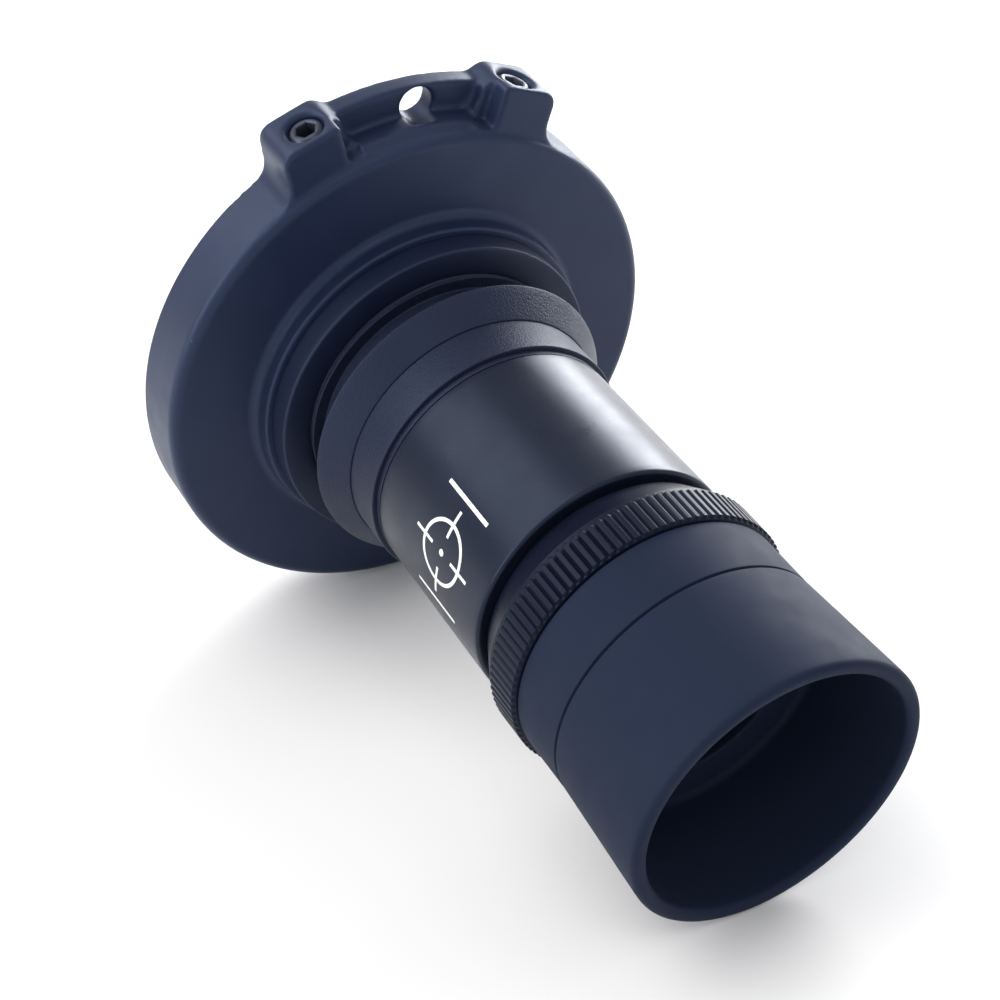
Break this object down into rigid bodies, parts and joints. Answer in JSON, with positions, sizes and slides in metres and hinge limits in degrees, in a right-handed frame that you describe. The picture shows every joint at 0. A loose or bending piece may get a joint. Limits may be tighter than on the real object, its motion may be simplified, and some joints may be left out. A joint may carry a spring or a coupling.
{
  "type": "sighting eyepiece with clamp flange",
  "caption": "Black sighting eyepiece tube: rubber eyecup, ribbed focus ring, lens barrel and a wide round clamp flange with a screwed lug.",
  "frame": {"origin": "centre of the clamp bore's mouth, at the back face of the flange", "axes": "+X along the optical axis toward the eye, +Z toward the clamp lug on the flange, +Y completes a right-handed frame"},
  "size_m": [0.1026, 0.0772, 0.0822],
  "materials": {
    "anodised_flange": "satin blasted black anodise with a blue cast",
    "anodised_barrel": "satin black anodise",
    "anodised_ring": "semi-gloss black anodise",
    "anodised_inner": "matt black anodise",
    "soft_rubber": "matt moulded rubber",
    "seal_rubber": "smooth",
    "black_steel": "black oxide",
    "steel_pin": "ground",
    "nylon": "natural nylon",
    "coated_glass": "anti-reflection coated",
    "white_ink": "printed white mark on the barrel"
  },
  "bodies": {
    "tube": {"flange_cup": "anodised_flange", "seat_gasket": "seal_rubber", "lock_ring": "anodised_flange", "front_collar": "anodised_flange", "objective_retaining_ring": "anodised_inner", "objective_crown_lens": "coated_glass", "objective_flint_lens": "coated_glass", "barrel_seal": "seal_rubber", "main_barrel": "anodised_barrel", "glare_stop": "anodised_inner", "guide_pin": "steel_pin"},
    "eyepiece_cell": {"eyepiece_cell": "anodised_inner", "cell_seal": "seal_rubber", "eye_hollow_lens": "coated_glass", "eye_lens_spacer": "anodised_inner", "eye_bulging_lens": "coated_glass", "eye_retaining_ring": "anodised_inner"},
    "focus_ring": {"focus_ring": "anodised_ring", "cell_retaining_ring": "anodised_inner", "eyecup": "soft_rubber"},
    "left_pad": {"clamp_pad_left": "nylon"},
    "left_screw": {"clamp_screw_left": "black_steel"},
    "right_pad": {"clamp_pad_right": "nylon"},
    "right_screw": {"clamp_screw_right": "black_steel"}
  },
  "joints": [
    {"name": "focus_travel", "type": "slide", "parent": "tube", "child": "eyepiece_cell", "axis": [1, 0, 0], "range_m": [-0.00061, 0.00421]},
    {"name": "focus_turn", "type": "hinge", "parent": "eyepiece_cell", "child": "focus_ring", "pos_m": [0.07, 0, 0], "axis": [1, 0, 0], "range_deg": [-36, 252]},
    {"name": "left_screw_travel", "type": "slide", "parent": "tube", "child": "left_pad", "axis": [0, -0.3584, 0.9336], "range_m": [-0.001, 0.003]},
    {"name": "left_screw_turn", "type": "hinge", "parent": "left_pad", "child": "left_screw", "pos_m": [0.005, -0.01433, 0.03734], "axis": [0, -0.3584, 0.9336], "range_deg": [-454, 1354]},
    {"name": "right_screw_travel", "type": "slide", "parent": "tube", "child": "right_pad", "axis": [0, 0.3584, 0.9336], "range_m": [-0.001, 0.003]},
    {"name": "right_screw_turn", "type": "hinge", "parent": "right_pad", "child": "right_screw", "pos_m": [0.005, 0.01433, 0.03734], "axis": [0, 0.3584, 0.9336], "range_deg": [-454, 1354]}
  ],
  "couplings": [
    {"joint": "focus_travel", "follows": "focus_turn", "m_per_rad": 0.00095493},
    {"joint": "left_screw_turn", "follows": "left_screw_travel", "rad_per_m": 7854},
    {"joint": "right_screw_turn", "follows": "right_screw_travel", "rad_per_m": 7854}
  ]
}
